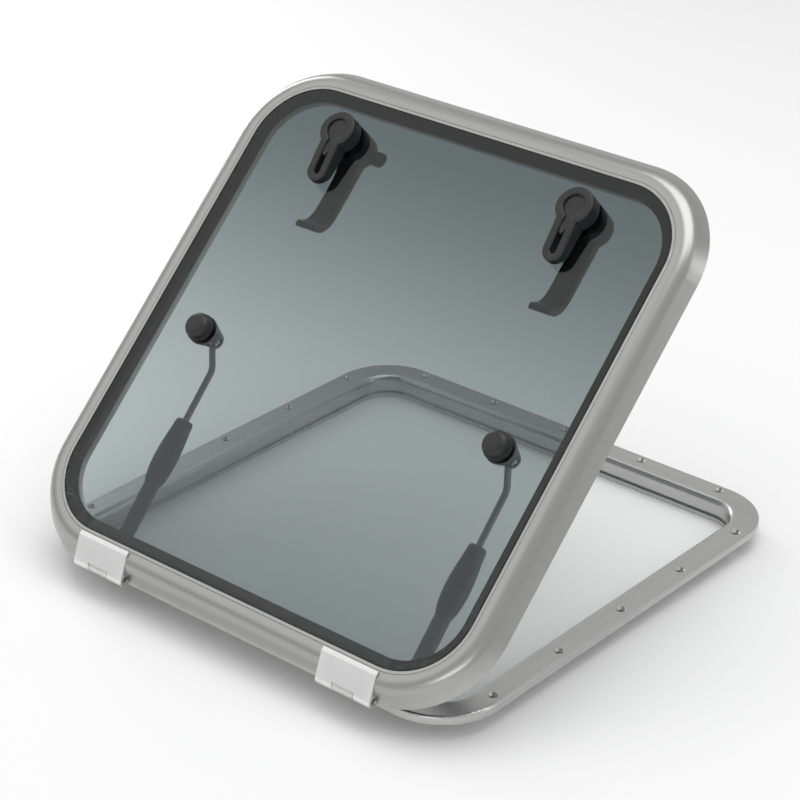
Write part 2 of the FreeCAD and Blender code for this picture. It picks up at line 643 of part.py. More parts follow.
# ---------------------------------------------------------------- handles
def make_handle(tag, side):
    """Outer lever, shaft, inner lever with its catch nose, screw, bush, nut and washer."""
    x = side * size("handle_spread")
    centre = Vector(x, HANDLE_Y, 0)
    shaft = size("shaft_radius")
    bush = size("bush_radius")
    seal = size("seal_thick")
    nut = 3.0
    hub_top = RIM_TOP + size("hub_height")
    hub_bottom = PANE_TOP + 1.0
    flange_top = PANE_TOP + seal + 1.2
    grab_bottom = RIM_TOP - size("grab_bottom")
    grab_top = PANE_BOTTOM - nut - 0.5
    web_low = grab_bottom + 4.0
    web_high = web_low + 2.0

    def disc(r, low, high):
        return Part.makeCylinder(r, high - low, centre + Vector(0, 0, low))

    # outer lever
    reach = size("lever_reach")
    width = size("lever_width")
    bar = slab(x, HANDLE_Y, hub_bottom, hub_top, reach, width)
    tip_top = RIM_TOP + size("lever_tip_height")
    side_view = [(HANDLE_Y, hub_bottom), (HANDLE_Y, hub_top - 1.5), (HANDLE_Y - size("hub_radius"),
                 hub_top - 1.5), (HANDLE_Y - reach, tip_top),
                 (HANDLE_Y - reach, hub_bottom + 5.5), (HANDLE_Y - reach + 14, hub_bottom)]
    bar = bar.common(prism(side_view, Vector(width, 0, 0),
                           lambda y, z: Vector(x - width / 2, y, z)))
    outer = disc(size("hub_radius"), hub_bottom, hub_top).fuse(bar)
    slot = size("lever_slot")
    slot_start = size("hub_radius") + slot / 2 + 1.0
    opening = slab(x, HANDLE_Y - slot_start, hub_bottom - 1, hub_top + 1,
                   reach - 10 - slot_start, slot)
    opening = opening.fuse(Part.makeCylinder(slot / 2, hub_top - hub_bottom + 2,
                                             Vector(x, HANDLE_Y - slot_start, hub_bottom - 1)))
    outer = outer.cut(opening).cut(disc(size("hub_radius") - 3, hub_top - 1.2, hub_top + 1))
    outer = outer.cut(disc(bush + 6.2, hub_bottom - 1, flange_top + 0.4))
    outer = outer.cut(disc(shaft, hub_bottom - 1, hub_top - 6)).removeSplitter()
    finish(feature("handle_outer_" + tag, outer), "handle_outer_" + tag, OPEN_LID)

    # bush through the pane, its washer and its nut
    body = disc(bush, PANE_BOTTOM - nut, flange_top).fuse(disc(bush + 5, flange_top - 1.2,
                                                              flange_top))
    body = body.cut(disc(shaft + size("running"), PANE_BOTTOM - nut - 1, flange_top + 1))
    finish(feature("handle_bush_" + tag, body), "handle_bush_" + tag, OPEN_LID)
    finish(feature("handle_seal_" + tag, disc(bush + 5.6, PANE_TOP, PANE_TOP + seal).cut(
        disc(bush, PANE_TOP - 1, PANE_TOP + 2))), "handle_seal_" + tag, OPEN_LID)
    finish(feature("handle_nut_" + tag, disc(bush + 5, PANE_BOTTOM - nut, PANE_BOTTOM).cut(
        disc(bush, PANE_BOTTOM - nut - 1, PANE_BOTTOM + 1))), "handle_nut_" + tag, OPEN_LID)

    # shaft and its screw
    shank = 2.5
    rod = disc(shaft, web_high, hub_top - 6).cut(disc(shank, web_high - 1, web_high + 14))
    finish(feature("handle_spindle_" + tag, rod), "handle_spindle_" + tag, OPEN_LID)
    screw = disc(shank, web_low, web_high + 12).fuse(disc(5.5, web_low - 3, web_low))
    finish(feature("handle_screw_" + tag, screw), "handle_screw_" + tag, OPEN_LID)

    # inner lever: flat bar that curls back towards the pane at its tip
    long = size("grab_reach")
    thick = size("grab_thick")
    low = grab_bottom
    rise = RIM_TOP - 17.0
    path = [(HANDLE_Y, low), (HANDLE_Y, low + thick + 6), (HANDLE_Y - 20, low + thick + 5),
            (HANDLE_Y - 34, low + thick), (HANDLE_Y - long + 24, low + thick),
            (HANDLE_Y - long + 12, low + thick + 7), (HANDLE_Y - long + 6, rise),
            (HANDLE_Y - long, rise - 1), (HANDLE_Y - long + 5, low + 9),
            (HANDLE_Y - long + 17, low + 1.5), (HANDLE_Y - long + 26, low)]
    wide = size("grab_width")
    grab = slab(x, HANDLE_Y, low, rise, long, wide)
    grab = grab.common(prism(path, Vector(wide, 0, 0), lambda y, z: Vector(x - wide / 2, y, z)))
    grab = grab.fuse(disc(size("hub_radius") + 0.5, low, grab_top))
    # catch nose: enters the groove when the handle is turned towards the free side
    nose_reach = OPEN_HALF + size("catch_bite") - HANDLE_Y
    play = 0.7
    nose_low = -size("groove_top") - size("groove_height") + play
    nose = slab(0, 0, nose_low, -size("groove_top") - play, nose_reach, 16.0)
    nose.rotate(Vector(), Z_AXIS, -90 * side)
    nose.translate(centre)
    rim = disc(nose_reach, nose_low - 1, RIM_TOP)
    grab = grab.fuse(nose.common(rim))
    grab = grab.cut(disc(shaft, web_high, grab_top + 1)).cut(disc(shank + 0.3, low - 1, web_high))
    grab = grab.cut(disc(shaft, nose_low - 2, web_low)).removeSplitter()
    finish(feature("handle_inner_" + tag, grab), "handle_inner_" + tag, OPEN_LID)


# ---------------------------------------------------------------- stays
def make_stay(tag, side):
    """Bracket and pin on the base, tube with grip, bent rod, post, bolt and cap on the pane."""
    x = side * size("stay_spread")
    eye = size("stay_eye_radius")
    eye_half = size("stay_eye_width") / 2
    gap = size("side_gap")
    ear = size("bracket_plate")
    foot = Vector(x, FOOT_Y, FOOT_Z)
    foot_pin = size("foot_pin_radius")

    # bracket on the opening's wall
    wall_y = -OPEN_HALF
    half = size("bracket_width") / 2
    low = -size("bracket_drop")
    plate = Part.makeBox(2 * half, ear, 1.4 - low, Vector(x - half, wall_y, low))
    ears = [plate]
    for step in (-1, 1):
        start = x + step * (eye_half + gap) - (ear if step < 0 else 0)
        web = prism([(wall_y + ear / 2, low), (wall_y + ear / 2, 1.4),
                     (FOOT_Y - eye * 0.6, FOOT_Z + eye * 0.8), (FOOT_Y, FOOT_Z),
                     (FOOT_Y + eye * 0.6, FOOT_Z - eye * 0.8)], Vector(ear, 0, 0),
                    lambda y, z, s=start: Vector(s, y, z))
        ears.append(web)
        ears.append(Part.makeCylinder(eye, ear, Vector(start, FOOT_Y, FOOT_Z), X_AXIS))
    bracket = ears[0].fuse(ears[1:])
    bracket = bracket.cut(Part.makeCylinder(foot_pin, 60, foot - Vector(30, 0, 0), X_AXIS))
    screws = []
    radius = size("bracket_screw_radius")
    for step in (-1, 1):
        place = Vector(x + step * size("bracket_screw_spread"), wall_y + ear, BRACKET_MID)
        into = Part.makeCylinder(radius, ear + 4.0, place, Vector(0, -1, 0))
        screws.append(into.fuse(Part.makeCylinder(3.4, 1.8, place, Y_AXIS)).removeSplitter())
        bracket = bracket.cut(into)
    finish(feature("stay_bracket_" + tag, bracket.removeSplitter()), "stay_bracket_" + tag)
    reach = eye_half + gap + ear
    pin = Part.makeCylinder(foot_pin, 2 * reach, foot - Vector(reach, 0, 0), X_AXIS)
    for step in (-1, 1):
        start = foot + Vector(reach if step > 0 else -reach - 1.6, 0, 0)
        pin = pin.fuse(Part.makeCylinder(foot_pin + 1.4, 1.6, start, X_AXIS))
    finish(feature("stay_foot_pin_" + tag, pin.removeSplitter()), "stay_foot_pin_" + tag)

    # the stay is drawn along +Y from its foot pin and turned to its slope
    top = OPEN_LID.multVec(Vector(x, TOP_PIN_Y, TOP_PIN_Z)) - foot
    offset = size("rod_offset")
    along = math.sqrt(top.y ** 2 + top.z ** 2 - offset ** 2)
    slope = math.degrees(math.atan2(top.z, top.y) - math.atan2(offset, along))
    line = FreeCAD.Placement(foot, FreeCAD.Rotation(X_AXIS, slope))

    def bar(r, low, high):
        return Part.makeCylinder(r, high - low, Vector(0, low, 0), Y_AXIS)

    bore = size("tube_radius") - size("tube_wall")
    start = size("tube_start")
    tongue = Part.makeCylinder(eye, 2 * eye_half, Vector(-eye_half, 0, 0), X_AXIS)
    tongue = tongue.fuse(Part.makeBox(2 * eye_half, start + 2, 2 * eye,
                                      Vector(-eye_half, 0, -eye)))
    tube = tongue.fuse(bar(size("tube_radius"), start, size("tube_end")))
    tube = tube.cut(bar(bore, start + 4, size("tube_end") + 1))
    tube = tube.cut(Part.makeCylinder(foot_pin + size("running"), 40, Vector(-20, 0, 0), X_AXIS))
    finish(feature("stay_tube_" + tag, tube.removeSplitter()), "stay_tube_" + tag, line)

    end = size("tube_end")
    guide = bar(bore, end - 12, end).fuse(bar(size("tube_radius"), end, end + 2))
    guide = guide.cut(bar(size("rod_radius") + size("running"), end - 13, end + 3))
    finish(feature("stay_guide_" + tag, guide.removeSplitter()), "stay_guide_" + tag, line)

    # grip: a leaf-shaped sleeve, widest two thirds of the way down
    first = size("grip_start")
    last = size("grip_end")
    wide = size("grip_radius")
    flat = size("tube_radius") + 1.5
    length = last - first
    rings = []
    for share, w, h in ((0.0, 0.70, 0.93), (0.14, 0.86, 0.98), (0.36, 1.0, 1.0), (0.6, 0.93, 1.0),
                        (0.82, 0.78, 0.99), (0.93, 0.70, 0.95), (1.0, 0.58, 0.78)):
        a = max(w * wide, h * flat) if share < 1.0 else w * wide
        b = min(w * wide, h * flat)
        oval = Part.Ellipse(Vector(0, 0, 0), a, b).toShape()
        oval.rotate(Vector(), X_AXIS, 90)
        oval.translate(Vector(0, first + share * length, 0))
        rings.append(Part.Wire([oval]))
    grip = Part.makeLoft(rings, True, False)
    grip = grip.cut(bar(size("tube_radius"), first - 1, end + 2))
    grip = grip.cut(bar(size("rod_radius") + 1.0, end, last + 1))
    finish(feature("stay_grip_" + tag, grip), "stay_grip_" + tag, line)

    # rod: straight in the tube, then bent over to the top pin
    rise = size("rod_rise")
    turn = math.atan2(offset, rise)
    trim = size("rod_bend") * math.tan(turn / 2)
    corner = Vector(0, along - rise, 0)
    lean = Vector(0, math.cos(turn), math.sin(turn))
    a = Vector(0, size("piston_start"), 0)
    b = corner - Vector(0, trim, 0)
    c = corner + lean * trim
    centre = b + Vector(0, 0, size("rod_bend"))
    middle = centre + Vector(0, math.sin(turn / 2), -math.cos(turn / 2)) * size("rod_bend")
    pin_at = Vector(0, along, offset)
    r = size("rod_radius")
    path = Part.Wire([Part.makeLine(a, b), Part.Arc(b, middle, c).toShape(),
                      Part.makeLine(c, pin_at - lean * 1.0)])
    profile = Part.Wire([Part.makeCircle(r, a, Y_AXIS)])
    rod = path.makePipeShell([profile], True, False)
    piston = bar(bore - size("running"), size("piston_start"),
                 size("piston_start") + size("piston_length"))
    top_eye = Part.makeCylinder(4.6, 2 * r, pin_at - Vector(r, 0, 0), X_AXIS)
    rod = rod.fuse([piston, top_eye])
    top_pin = size("top_pin_radius")
    rod = rod.cut(Part.makeCylinder(top_pin, 40, pin_at - Vector(20, 0, 0), X_AXIS))
    finish(feature("stay_rod_" + tag, rod), "stay_rod_" + tag, line)
    cross = Part.makeCylinder(top_pin, 17, pin_at - Vector(8.5, 0, 0), X_AXIS)
    finish(feature("stay_top_pin_" + tag, cross), "stay_top_pin_" + tag, line)

    # post under the pane: a cone split into two cheeks, with a slanted slot for the top pin
    at = Vector(x, POST_Y, 0)
    post_end = RIM_TOP - size("post_drop")
    cone = Part.makeCone(size("post_end_radius"), size("post_top_radius"),
                         PANE_BOTTOM - post_end, at + Vector(0, 0, post_end))
    cheek_gap = size("rod_radius") + 2 * gap
    cone = cone.cut(Part.makeBox(2 * cheek_gap, 40, PANE_BOTTOM - 2.6 - post_end + 1,
                                 at + Vector(-cheek_gap, -20, post_end - 1)))
    travel = size("pin_travel")
    slot = top_pin + size("pin_drift")
    way = Vector(0, -0.55, 0.835).normalize()
    low_pin = Vector(x - 30, TOP_PIN_Y, TOP_PIN_Z)
    high_pin = low_pin + way * travel
    across = Vector(0, way.z, -way.y) * slot
    sides = [low_pin + across, high_pin + across, high_pin - across, low_pin - across]
    slit = Part.Face(Part.makePolygon(sides + sides[:1])).extrude(Vector(60, 0, 0))
    slit = slit.fuse([Part.makeCylinder(slot, 60, low_pin, X_AXIS),
                      Part.makeCylinder(slot, 60, high_pin, X_AXIS)])
    bolt_r = size("stay_bolt_radius")
    cone = cone.cut(slit)
    finish(feature("stay_post_" + tag, cone), "stay_post_" + tag, OPEN_LID)
    seal = size("seal_thick")
    cap_r = size("cap_radius")
    high = size("cap_height")
    washer = Part.makeCylinder(cap_r + 0.6, seal, at + Vector(0, 0, PANE_TOP))
    bolt_top = PANE_TOP + seal + high - 5
    shank = Part.makeCylinder(bolt_r, bolt_top - PANE_BOTTOM, at + Vector(0, 0, PANE_BOTTOM))
    finish(feature("stay_seal_" + tag, washer.cut(shank)), "stay_seal_" + tag, OPEN_LID)
    outline = [Vector(x, POST_Y, PANE_TOP + seal), Vector(x + cap_r, POST_Y, PANE_TOP + seal),
               Vector(x + cap_r - 1.0, POST_Y, PANE_TOP + seal + high * 0.45),
               Vector(x + 2.0, POST_Y, PANE_TOP + seal + high),
               Vector(x, POST_Y, PANE_TOP + seal + high)]
    crown = Vector(x + cap_r * 0.6, POST_Y, PANE_TOP + seal + high * 0.87)
    dome = Part.Face(Part.Wire([Part.makeLine(outline[0], outline[1]),
                                Part.makeLine(outline[1], outline[2]),
                                Part.Arc(outline[2], crown, outline[3]).toShape(),
                                Part.makeLine(outline[3], outline[4]),
                                Part.makeLine(outline[4], outline[0])]))
    dome = dome.revolve(at, Z_AXIS, 360)
    finish(feature("stay_cap_" + tag, dome.cut(shank)), "stay_cap_" + tag, OPEN_LID)
    finish(feature("stay_bolt_" + tag, shank), "stay_bolt_" + tag, OPEN_LID)
    return screws


# ---------------------------------------------------------------- build and write
make_base_frame()
make_lid_frame()
make_pane()
make_lid_seals()
lug_screws = []
bracket_screws = []
for name, hand in SIDES:
    lug_screws += make_hinge(name, hand)
    make_handle(name, hand)
    bracket_screws += make_stay(name, hand)
finish(feature("hinge_lug_screws", Part.makeCompound(lug_screws)), "hinge_lug_screws")
finish(feature("stay_bracket_screws", Part.makeCompound(bracket_screws)), "stay_bracket_screws")
doc.recompute()

for item in doc.Objects:
    if "Invalid" in item.State or "Error" in item.State:
        raise RuntimeError("%s is not valid" % item.Label)
os.makedirs("parts", exist_ok=True)
for item in subparts:
    if item.Shape.isNull() or not item.Shape.isValid() or not item.Shape.Solids:
        raise RuntimeError("%s has no valid solid" % item.Label)
    item.Shape.exportStep("parts/%s.step" % item.Label)
    box = item.Shape.BoundBox
    print("%-24s %3d solids %10.0f mm3  x %7.1f %7.1f  y %7.1f %7.1f  z %7.1f %7.1f" % (
        item.Label, len(item.Shape.Solids), item.Shape.Volume, box.XMin, box.XMax, box.YMin,
        box.YMax, box.ZMin, box.ZMax))
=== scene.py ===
import json
import math

import bmesh
import bpy
from mathutils import Matrix, Vector


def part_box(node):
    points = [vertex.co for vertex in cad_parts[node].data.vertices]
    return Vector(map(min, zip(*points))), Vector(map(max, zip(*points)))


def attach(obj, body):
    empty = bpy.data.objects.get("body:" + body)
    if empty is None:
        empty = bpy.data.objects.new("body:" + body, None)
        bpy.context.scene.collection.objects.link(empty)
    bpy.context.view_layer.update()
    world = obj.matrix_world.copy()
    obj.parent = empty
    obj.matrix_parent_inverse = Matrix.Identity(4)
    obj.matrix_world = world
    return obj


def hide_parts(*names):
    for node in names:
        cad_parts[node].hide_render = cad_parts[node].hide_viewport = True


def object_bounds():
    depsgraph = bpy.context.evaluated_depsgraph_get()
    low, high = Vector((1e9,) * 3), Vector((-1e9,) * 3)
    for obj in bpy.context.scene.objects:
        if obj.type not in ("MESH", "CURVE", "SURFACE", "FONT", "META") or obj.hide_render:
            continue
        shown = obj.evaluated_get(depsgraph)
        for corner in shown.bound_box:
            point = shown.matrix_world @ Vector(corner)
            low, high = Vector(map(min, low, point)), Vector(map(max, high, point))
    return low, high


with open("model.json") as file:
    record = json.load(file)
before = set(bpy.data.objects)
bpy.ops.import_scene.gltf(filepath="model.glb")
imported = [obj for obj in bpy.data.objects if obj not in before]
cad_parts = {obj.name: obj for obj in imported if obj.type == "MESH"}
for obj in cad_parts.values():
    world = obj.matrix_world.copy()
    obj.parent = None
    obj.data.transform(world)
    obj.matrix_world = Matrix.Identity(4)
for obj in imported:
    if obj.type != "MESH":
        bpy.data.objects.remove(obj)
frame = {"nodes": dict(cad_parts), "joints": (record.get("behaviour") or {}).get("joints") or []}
cad_box = [list(map(float, corner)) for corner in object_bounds()]
nodes = frame["nodes"]
joints = {joint["name"]: joint for joint in frame["joints"]}
MM = 0.001
TURN = 2 * math.pi
SIDES = (("left", -1.0), ("right", 1.0))

# Where the lid stands. The fittings on it are drawn with the lid shut, then swung open.
HINGE = Vector(joints["lid_hinge"]["pos_m"])
OPEN_ANGLE = math.radians(-joints["lid_hinge"]["range_deg"][0])
SWING = (Matrix.Translation(HINGE) @ Matrix.Rotation(OPEN_ANGLE, 4, "X")
         @ Matrix.Translation(-HINGE))
UNSWING = SWING.inverted()


def shut_box(node):
    """A lid fitting's corners as they are with the lid shut."""
    points = [UNSWING @ vertex.co for vertex in nodes[node].data.vertices]
    low = Vector(min(p[i] for p in points) for i in range(3))
    high = Vector(max(p[i] for p in points) for i in range(3))
    return low, high


# ---------------------------------------------------------------- shader groups
def group(name, inputs, outputs):
    """An empty shader node group with its sockets."""
    tree = bpy.data.node_groups.new(name, "ShaderNodeTree")
    for label, kind, value in inputs:
        socket = tree.interface.new_socket(label, in_out="INPUT", socket_type=kind)
        socket.default_value = value
    for label, kind in outputs:
        tree.interface.new_socket(label, in_out="OUTPUT", socket_type=kind)
    return tree, tree.nodes.new("NodeGroupInput"), tree.nodes.new("NodeGroupOutput")


def math_node(tree, operation, first, second, clamp=False):
    """One arithmetic step; each operand is a number or a socket."""
    node = tree.nodes.new("ShaderNodeMath")
    node.operation = operation
    node.use_clamp = clamp
    for slot, item in enumerate((first, second)):
        if isinstance(item, (int, float)):
            node.inputs[slot].default_value = item
        else:
            tree.links.new(item, node.inputs[slot])
    return node.outputs[0]


def noise(tree, vector, scale, detail, rough):
    """Noise value; scale is a number or a socket."""
    node = tree.nodes.new("ShaderNodeTexNoise")
    node.inputs["Detail"].default_value = detail
    node.inputs["Roughness"].default_value = rough
    tree.links.new(vector, node.inputs["Vector"])
    if isinstance(scale, (int, float)):
        node.inputs["Scale"].default_value = scale
    else:
        tree.links.new(scale, node.inputs["Scale"])
    return node.outputs["Fac"]


def blend_colour(tree, factor, first, second):
    """Mix two colours, each a tuple or a socket."""
    node = tree.nodes.new("ShaderNodeMix")
    node.data_type = "RGBA"
    tree.links.new(factor, node.inputs["Factor"])
    for name, item in (("A", first), ("B", second)):
        socket = [s for s in node.inputs if s.name == name and s.type == "RGBA"][0]
        if isinstance(item, tuple):
            socket.default_value = item
        else:
            tree.links.new(item, socket)
    return [s for s in node.outputs if s.type == "RGBA"][0]


def make_surface_group():
    """Cloudy colour change, roughness change and fine relief for metal and plastic."""
    tree, source, sink = group(
        "surface_finish",
        [("Colour", "NodeSocketColor", (0.5, 0.5, 0.5, 1)),
         ("Mottle Colour", "NodeSocketColor", (0.4, 0.4, 0.4, 1)),
         ("Mottle Amount", "NodeSocketFloat", 0.2), ("Mottle Scale", "NodeSocketFloat", 20.0),
         ("Grain Scale", "NodeSocketFloat", 900.0), ("Roughness", "NodeSocketFloat", 0.4),
         ("Roughness Spread", "NodeSocketFloat", 0.08)],
        [("Colour", "NodeSocketColor"), ("Roughness", "NodeSocketFloat"),
         ("Relief", "NodeSocketFloat")])
    place = tree.nodes.new("ShaderNodeTexCoord").outputs["Object"]
    clouds = noise(tree, place, source.outputs["Mottle Scale"], 4.0, 0.6)
    grain = noise(tree, place, source.outputs["Grain Scale"], 2.0, 0.55)
    amount = math_node(tree, "MULTIPLY", clouds, source.outputs["Mottle Amount"], True)
    colour = blend_colour(tree, amount, source.outputs["Colour"], source.outputs["Mottle Colour"])
    shift = math_node(tree, "SUBTRACT", grain, 0.5)
    cloud_shift = math_node(tree, "SUBTRACT", clouds, 0.5)
    both = math_node(tree, "ADD", shift, cloud_shift)
    spread = math_node(tree, "MULTIPLY", both, source.outputs["Roughness Spread"])
    rough = math_node(tree, "ADD", source.outputs["Roughness"], spread, True)
    tree.links.new(colour, sink.inputs["Colour"])
    tree.links.new(rough, sink.inputs["Roughness"])
    tree.links.new(grain, sink.inputs["Relief"])
    return tree


def make_wear_group():
    """Mask that is 1 on rubbed outer edges and 0 on open faces, broken up by noise."""
    tree, source, sink = group(
        "edge_wear",
        [("Start", "NodeSocketFloat", 0.52), ("Strength", "NodeSocketFloat", 8.0),
         ("Break Up Scale", "NodeSocketFloat", 60.0)],
        [("Mask", "NodeSocketFloat")])
    pointed = tree.nodes.new("ShaderNodeNewGeometry").outputs["Pointiness"]
    place = tree.nodes.new("ShaderNodeTexCoord").outputs["Object"]
    above = math_node(tree, "SUBTRACT", pointed, source.outputs["Start"])
    edge = math_node(tree, "MULTIPLY", above, source.outputs["Strength"], True)
    patches = noise(tree, place, source.outputs["Break Up Scale"], 5.0, 0.65)
    tree.links.new(math_node(tree, "MULTIPLY", edge, patches, True), sink.inputs["Mask"])
    return tree


def make_brush_group():
    """Fine lines along one direction, for drawn and brushed metal."""
    tree, source, sink = group(
        "draw_lines",
        [("Stretch", "NodeSocketVector", (40.0, 1200.0, 1200.0))],
        [("Lines", "NodeSocketFloat")])
    place = tree.nodes.new("ShaderNodeTexCoord").outputs["Object"]
    scaled = tree.nodes.new("ShaderNodeVectorMath")
    scaled.operation = "MULTIPLY"
    tree.links.new(place, scaled.inputs[0])
    tree.links.new(source.outputs["Stretch"], scaled.inputs[1])
    tree.links.new(noise(tree, scaled.outputs[0], 1.0, 3.0, 0.6), sink.inputs["Lines"])
    return tree


SURFACE = make_surface_group()
WEAR = make_wear_group()
BRUSH = make_brush_group()
RELIEF_DEPTH = 0.4 * MM


# ---------------------------------------------------------------- materials
def rgba(red, green, blue):
    """An opaque colour."""
    return (red, green, blue, 1.0)


def place_group(tree, source, **values):
    """A group node with its inputs set; an underscore in a name stands for a space."""
    node = tree.nodes.new("ShaderNodeGroup")
    node.node_tree = source
    for name, value in values.items():
        node.inputs[name.replace("_", " ")].default_value = value
    return node


def solid_material(name, colour, mottle, amount, mottle_scale, rough, spread, grain_scale, relief,
                   metallic=0.0, worn=None, lines=None):
    """A metal, plastic or rubber: mottled colour, varied roughness, fine relief.

    worn is the colour of rubbed edges; lines stretches the marks of drawing or brushing.
    """
    material = bpy.data.materials.new(name)
    material.use_nodes = True
    tree = material.node_tree
    shader = tree.nodes["Principled BSDF"]
    shader.inputs["Metallic"].default_value = metallic
    finish = place_group(tree, SURFACE, Colour=colour, Mottle_Colour=mottle, Mottle_Amount=amount,
                         Mottle_Scale=mottle_scale, Grain_Scale=grain_scale, Roughness=rough,
                         Roughness_Spread=spread)
    shade = finish.outputs["Colour"]
    if worn is not None:
        shade = blend_colour(tree, place_group(tree, WEAR).outputs["Mask"], shade, worn)
    tree.links.new(shade, shader.inputs["Base Color"])
    tree.links.new(finish.outputs["Roughness"], shader.inputs["Roughness"])
    height = finish.outputs["Relief"]
    if lines is not None:
        drawn = place_group(tree, BRUSH, Stretch=lines)
        height = math_node(tree, "ADD", height, drawn.outputs["Lines"])
    bump_node = tree.nodes.new("ShaderNodeBump")
    bump_node.inputs["Strength"].default_value = relief
    bump_node.inputs["Distance"].default_value = RELIEF_DEPTH
    tree.links.new(height, bump_node.inputs["Height"])
    tree.links.new(bump_node.outputs["Normal"], shader.inputs["Normal"])
    return material


def acrylic_material():
    """Smoke acrylic: clear, polished, with painted shade that darkens its tint towards the free
    edge.
    """
    material = bpy.data.materials.new("smoke_acrylic")
    material.use_nodes = True
    tree = material.node_tree
    shader = tree.nodes["Principled BSDF"]
    shader.inputs["Transmission Weight"].default_value = 1.0
    shader.inputs["IOR"].default_value = 1.49
    # Its own smoke tint, lifted with painted light to make up for the floor shaded beneath the lid.
    finish = place_group(tree, SURFACE, Colour=rgba(0.45, 0.52, 0.51),
                         Mottle_Colour=rgba(0.43, 0.50, 0.49), Mottle_Amount=0.5,
                         Mottle_Scale=3.0, Grain_Scale=240.0, Roughness=0.012,
                         Roughness_Spread=0.012)
    # Painted shade: from a tenth of the way up the pane to its free edge the tint darkens, standing
    # in for the darker reflection there.
    place = tree.nodes.new("ShaderNodeTexCoord").outputs["Object"]
    split = tree.nodes.new("ShaderNodeSeparateXYZ")
    tree.links.new(place, split.inputs[0])
    ramp = tree.nodes.new("ShaderNodeMapRange")
    ramp.interpolation_type = "SMOOTHSTEP"
    low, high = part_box("pane")
    pale_share = 0.10
    ramp.inputs["From Min"].default_value = low.z + pale_share * (high.z - low.z)
    ramp.inputs["From Max"].default_value = high.z
    tree.links.new(split.outputs["Z"], ramp.inputs["Value"])
    painted_shade_colour = blend_colour(tree, ramp.outputs["Result"], finish.outputs["Colour"],
                        rgba(0.085, 0.115, 0.12))
    tree.links.new(painted_shade_colour, shader.inputs["Base Color"])
    tree.links.new(finish.outputs["Roughness"], shader.inputs["Roughness"])
    return material


ANODISED = solid_material(
    "satin_anodised", rgba(0.41, 0.41, 0.405), mottle=rgba(0.30, 0.30, 0.297), amount=0.35,
    mottle_scale=14.0, rough=0.30, spread=0.07, grain_scale=1400.0, relief=0.035, metallic=1.0,
    worn=rgba(0.78, 0.78, 0.77))
BASE_METAL = solid_material(
    "satin_base_frame", rgba(0.52, 0.52, 0.515), mottle=rgba(0.40, 0.40, 0.397), amount=0.35,
    mottle_scale=16.0, rough=0.28, spread=0.07, grain_scale=1400.0, relief=0.035, metallic=1.0,
    worn=rgba(0.8, 0.8, 0.79))
LEAF_METAL = solid_material(
    "satin_leaf", rgba(0.72, 0.72, 0.72), mottle=rgba(0.62, 0.62, 0.62), amount=0.3,
    mottle_scale=30.0, rough=0.34, spread=0.06, grain_scale=1600.0, relief=0.03, metallic=1.0,
    worn=rgba(0.9, 0.9, 0.89), lines=(60.0, 1600.0, 1600.0))
STEEL = solid_material(
    "brushed_steel", rgba(0.46, 0.46, 0.47), mottle=rgba(0.36, 0.36, 0.37), amount=0.4,
    mottle_scale=40.0, rough=0.3, spread=0.1, grain_scale=1500.0, relief=0.05, metallic=1.0,
    worn=rgba(0.62, 0.62, 0.62), lines=(90.0, 1500.0, 1500.0))
ROD_STEEL = solid_material(
    "dark_rod_steel", rgba(0.20, 0.205, 0.21), mottle=rgba(0.13, 0.13, 0.135), amount=0.4,
    mottle_scale=60.0, rough=0.34, spread=0.1, grain_scale=1500.0, relief=0.05, metallic=1.0,
    worn=rgba(0.34, 0.34, 0.34))
BLACK_PLASTIC = solid_material(
    "black_moulding", rgba(0.010, 0.010, 0.011), mottle=rgba(0.022, 0.022, 0.023), amount=0.35,
    mottle_scale=30.0, rough=0.36, spread=0.12, grain_scale=1500.0, relief=0.10,
    worn=rgba(0.075, 0.075, 0.078))
GRIP_PLASTIC = solid_material(
    "grip_moulding", rgba(0.022, 0.021, 0.023), mottle=rgba(0.04, 0.04, 0.042), amount=0.4,
    mottle_scale=45.0, rough=0.45, spread=0.08, grain_scale=1200.0, relief=0.06,
    worn=rgba(0.09, 0.09, 0.092))
TUBE_PLASTIC = solid_material(
    "tube_moulding", rgba(0.026, 0.026, 0.028), mottle=rgba(0.045, 0.045, 0.047), amount=0.4,
    mottle_scale=35.0, rough=0.38, spread=0.08, grain_scale=1300.0, relief=0.04,
    worn=rgba(0.085, 0.085, 0.088))
GREY_PLASTIC = solid_material(
    "grey_bush", rgba(0.08, 0.08, 0.084), mottle=rgba(0.11, 0.11, 0.112), amount=0.4,
    mottle_scale=50.0, rough=0.4, spread=0.1, grain_scale=1200.0, relief=0.08,
    worn=rgba(0.16, 0.16, 0.16))
SEALANT = solid_material(
    "black_sealant", rgba(0.010, 0.011, 0.011), mottle=rgba(0.022, 0.023, 0.023), amount=0.4,
    mottle_scale=25.0, rough=0.5, spread=0.14, grain_scale=700.0, relief=0.15)
GASKET = solid_material(
    "gasket_rubber", rgba(0.014, 0.014, 0.014), mottle=rgba(0.03, 0.03, 0.03), amount=0.4,
    mottle_scale=30.0, rough=0.62, spread=0.14, grain_scale=900.0, relief=0.25)
ACRYLIC = acrylic_material()

